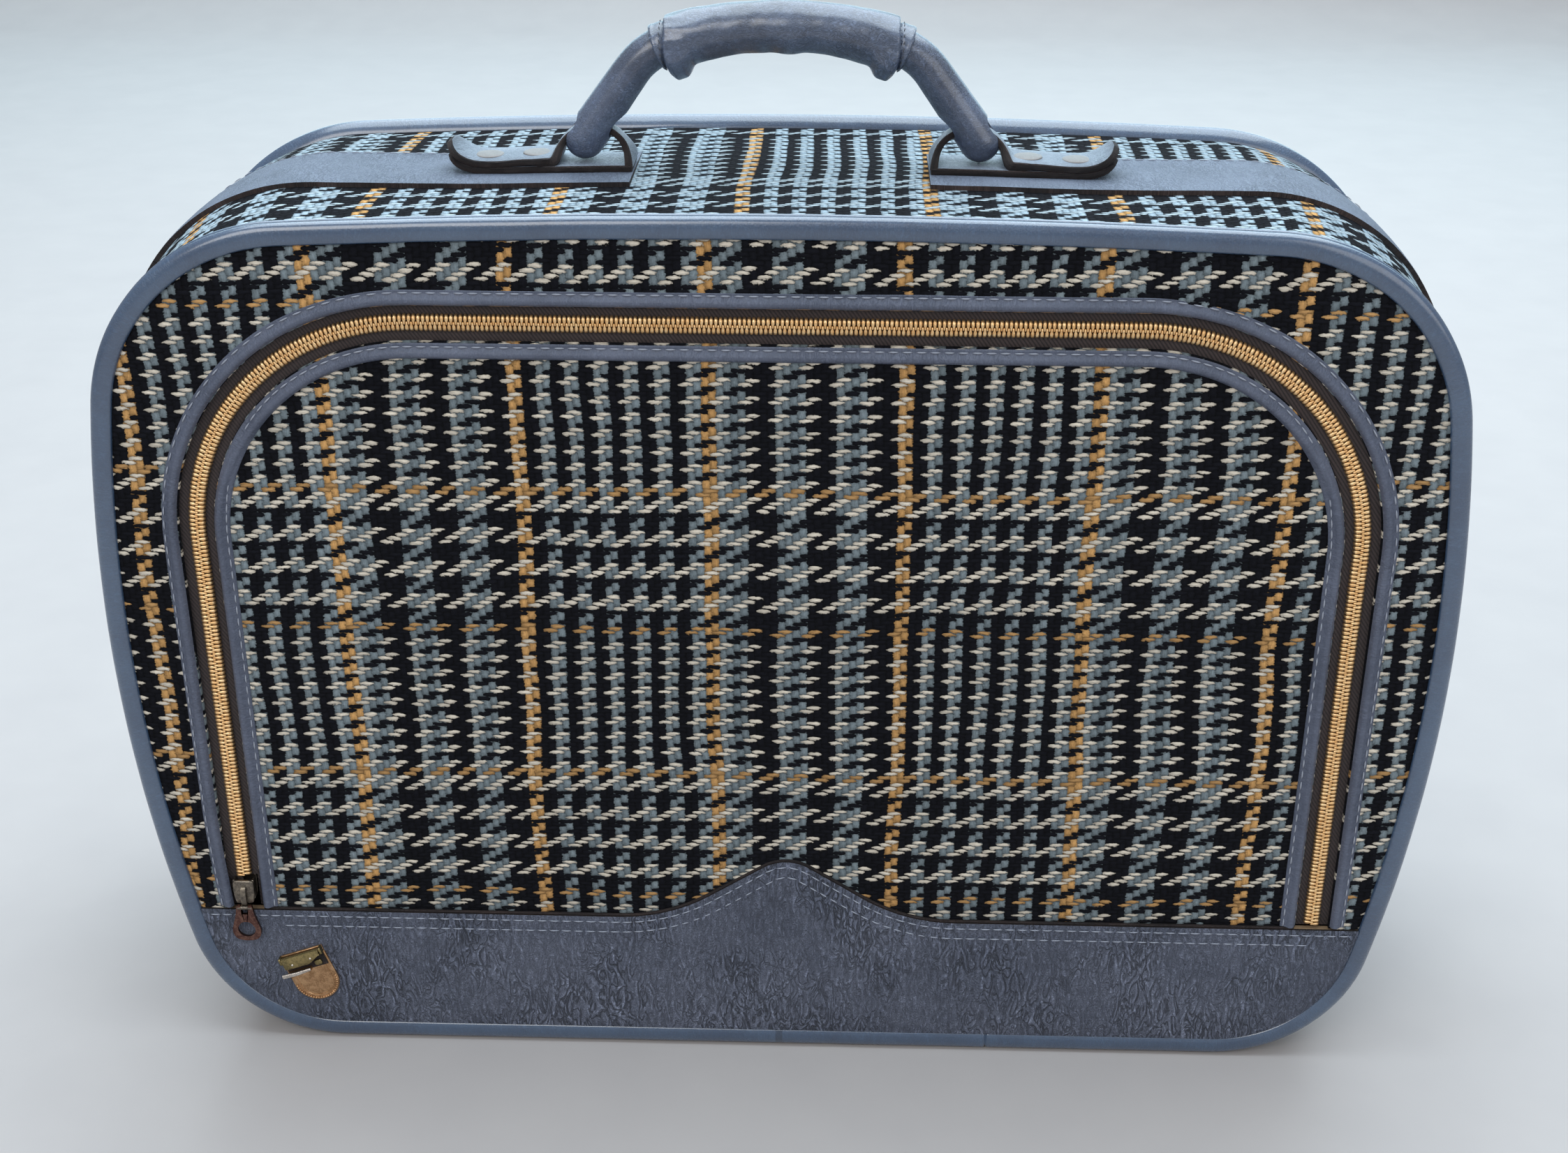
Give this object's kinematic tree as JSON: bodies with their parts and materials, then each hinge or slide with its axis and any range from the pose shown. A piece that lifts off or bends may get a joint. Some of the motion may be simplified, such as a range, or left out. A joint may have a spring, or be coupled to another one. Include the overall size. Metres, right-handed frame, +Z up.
{
  "type": "soft-sided suitcase",
  "caption": "Upright soft-sided travel case with tweed panels, vinyl base, an arched zip round a fold-down front flap, a swinging arched handle and a small brass zip lock.",
  "frame": {"origin": "on the floor, below the centre of the overall bounding box", "axes": "+X to the right seen from the front, +Y from front to back, +Z up"},
  "size_m": [0.5268, 0.1648, 0.4277],
  "materials": {
    "tweed": "two by two twill check, dry and hairy",
    "vinyl": "crinkled leather grain, worn satin",
    "board": "raw fibreboard",
    "lining": "plain woven lining",
    "zip_tape": "dark brown woven tape",
    "zip_chain": "worn gold coil",
    "zip_metal": "dark bronze, rubbed",
    "lock_brass": "tarnished pressed brass",
    "strap": "grained strap with dark cut edges",
    "tube": "leather-grained cover",
    "grip": "soft wrinkled wrap",
    "padding": "foam rubber",
    "spring_steel": "drawn wire",
    "rivet": "dull taupe lacquer"
  },
  "bodies": {
    "case": {"front_welt": "vinyl", "rear_welt": "vinyl", "front_frame_wire": "spring_steel", "rear_frame_wire": "spring_steel", "gusset_tweed": "tweed", "gusset_board": "board", "gusset_lining": "lining", "gusset_strip": "vinyl", "handle_plate": "board", "base_stiffener": "board", "front_border_panel": "tweed", "front_border_lining": "lining", "front_base_vinyl": "vinyl", "front_base_board": "board", "back_panel": "tweed", "back_board": "board", "back_lining": "lining", "outer_zip_piping": "vinyl", "outer_zip_tape": "zip_tape", "outer_zip_chain": "zip_chain", "handle_tab_right": "strap", "handle_tab_left": "strap", "tab_rivets": "rivet", "rivet_washers": "spring_steel", "lock_plate": "lock_brass", "lock_studs": "lock_brass"},
    "flap": {"flap_panel": "tweed", "flap_lining": "lining", "flap_peak_vinyl": "vinyl", "inner_zip_piping": "vinyl", "inner_zip_tape": "zip_tape", "inner_zip_chain": "zip_chain"},
    "slider": {"zip_slider": "zip_metal"},
    "pull": {"zip_pull_tab": "zip_metal"},
    "handle": {"handle_core": "spring_steel", "handle_tube": "tube", "grip_padding": "padding", "grip_wrap": "grip"},
    "jaw": {"lock_jaw": "lock_brass"}
  },
  "joints": [
    {"name": "flap_hinge", "type": "hinge", "parent": "case", "child": "flap", "pos_m": [0, -0.0773, 0.06525], "axis": [1, 0, 0], "range_deg": [0, 100]},
    {"name": "slider_travel", "type": "slide", "parent": "case", "child": "slider", "axis": [0, 0, 1], "range_m": [0, 0.155]},
    {"name": "pull_swing", "type": "hinge", "parent": "slider", "child": "pull", "pos_m": [-0.2225, -0.0795, 0.0678], "axis": [-1, 0, 0], "range_deg": [0, 165]},
    {"name": "handle_swing", "type": "hinge", "parent": "case", "child": "handle", "pos_m": [0, 0.0024, 0.37928], "axis": [1, 0, 0], "range_deg": [-88, 88]},
    {"name": "lock_jaw_hinge", "type": "hinge", "parent": "case", "child": "jaw", "pos_m": [-0.20123, -0.0802, 0.04424], "axis": [-0.9397, 0, -0.342], "range_deg": [0, 75]}
  ]
}
